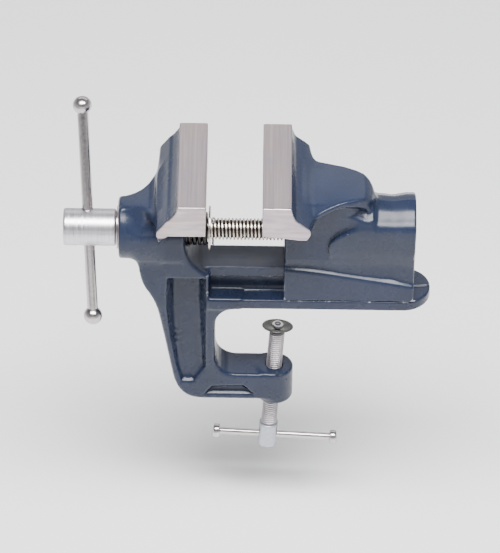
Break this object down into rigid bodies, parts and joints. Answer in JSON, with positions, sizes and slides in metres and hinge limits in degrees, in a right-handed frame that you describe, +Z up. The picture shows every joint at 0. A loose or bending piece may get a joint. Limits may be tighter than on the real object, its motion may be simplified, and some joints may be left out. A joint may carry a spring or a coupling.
{
  "type": "bench vise",
  "caption": "Small clamp-on bench vise: sliding rear jaw on a cast guide beam, screw with sliding bar handle, and a C-clamp leg with a swivel-pad screw.",
  "frame": {"origin": "on the underside of the guide flange, the face that sits on the bench, where the clamp screw's axis meets it", "axes": "+X along the main screw from its handle to the rear of the moving jaw, +Y across the jaws to the far side, +Z up"},
  "size_m": [0.2031, 0.075, 0.2238],
  "materials": {
    "paint": "slate blue gloss enamel on cast iron",
    "steel": "ground steel",
    "polished_steel": "polished steel",
    "black_steel": "oiled black spring steel",
    "zinc": "zinc-plated steel"
  },
  "bodies": {
    "frame": {"fixed_body": "paint"},
    "moving_jaw": {"moving_jaw": "paint", "main_nut": "steel"},
    "main_screw": {"main_screw": "polished_steel", "thrust_washer": "polished_steel", "jaw_spring": "black_steel", "retaining_washer": "steel", "split_pin": "zinc"},
    "main_bar": {"main_bar": "polished_steel", "main_bar_knob_upper": "polished_steel", "main_bar_knob_lower": "polished_steel"},
    "clamp_carrier": {"pad_ring": "zinc"},
    "clamp_screw": {"clamp_screw": "zinc"},
    "clamp_pad": {"clamp_pad": "zinc"},
    "clamp_bar": {"clamp_bar": "polished_steel", "clamp_bar_knob_left": "polished_steel", "clamp_bar_knob_right": "polished_steel"}
  },
  "joints": [
    {"name": "jaw_slide", "type": "slide", "parent": "frame", "child": "moving_jaw", "axis": [1, 0, 0], "range_m": [-0.0304, 0.022]},
    {"name": "screw_turn", "type": "hinge", "parent": "frame", "child": "main_screw", "pos_m": [0, 0, 0.045], "axis": [1, 0, 0], "range_deg": [-3955, 5465]},
    {"name": "bar_slide", "type": "slide", "parent": "main_screw", "child": "main_bar", "axis": [-0.0541, 0.4533, 0.8897], "range_m": [-0.053, 0.035]},
    {"name": "clamp_travel", "type": "slide", "parent": "frame", "child": "clamp_carrier", "axis": [0.0551, 0, 0.9985], "range_m": [-0.024, 0.021]},
    {"name": "clamp_turn", "type": "hinge", "parent": "clamp_carrier", "child": "clamp_screw", "pos_m": [0, 0, 0], "axis": [0.0551, 0, 0.9985], "range_deg": [-5755, 5035]},
    {"name": "pad_tilt", "type": "hinge", "parent": "clamp_carrier", "child": "clamp_pad", "pos_m": [-0.00141, 0, -0.02546], "axis": [0.9985, 0, -0.0551], "range_deg": [0, 30]},
    {"name": "clamp_bar_slide", "type": "slide", "parent": "clamp_screw", "child": "clamp_bar", "axis": [0.9985, 0, -0.0551], "range_m": [-0.0298, 0.0218]}
  ],
  "couplings": [
    {"joint": "jaw_slide", "follows": "screw_turn", "m_per_rad": -0.00031831},
    {"joint": "clamp_travel", "follows": "clamp_turn", "m_per_rad": 0.00023873}
  ]
}
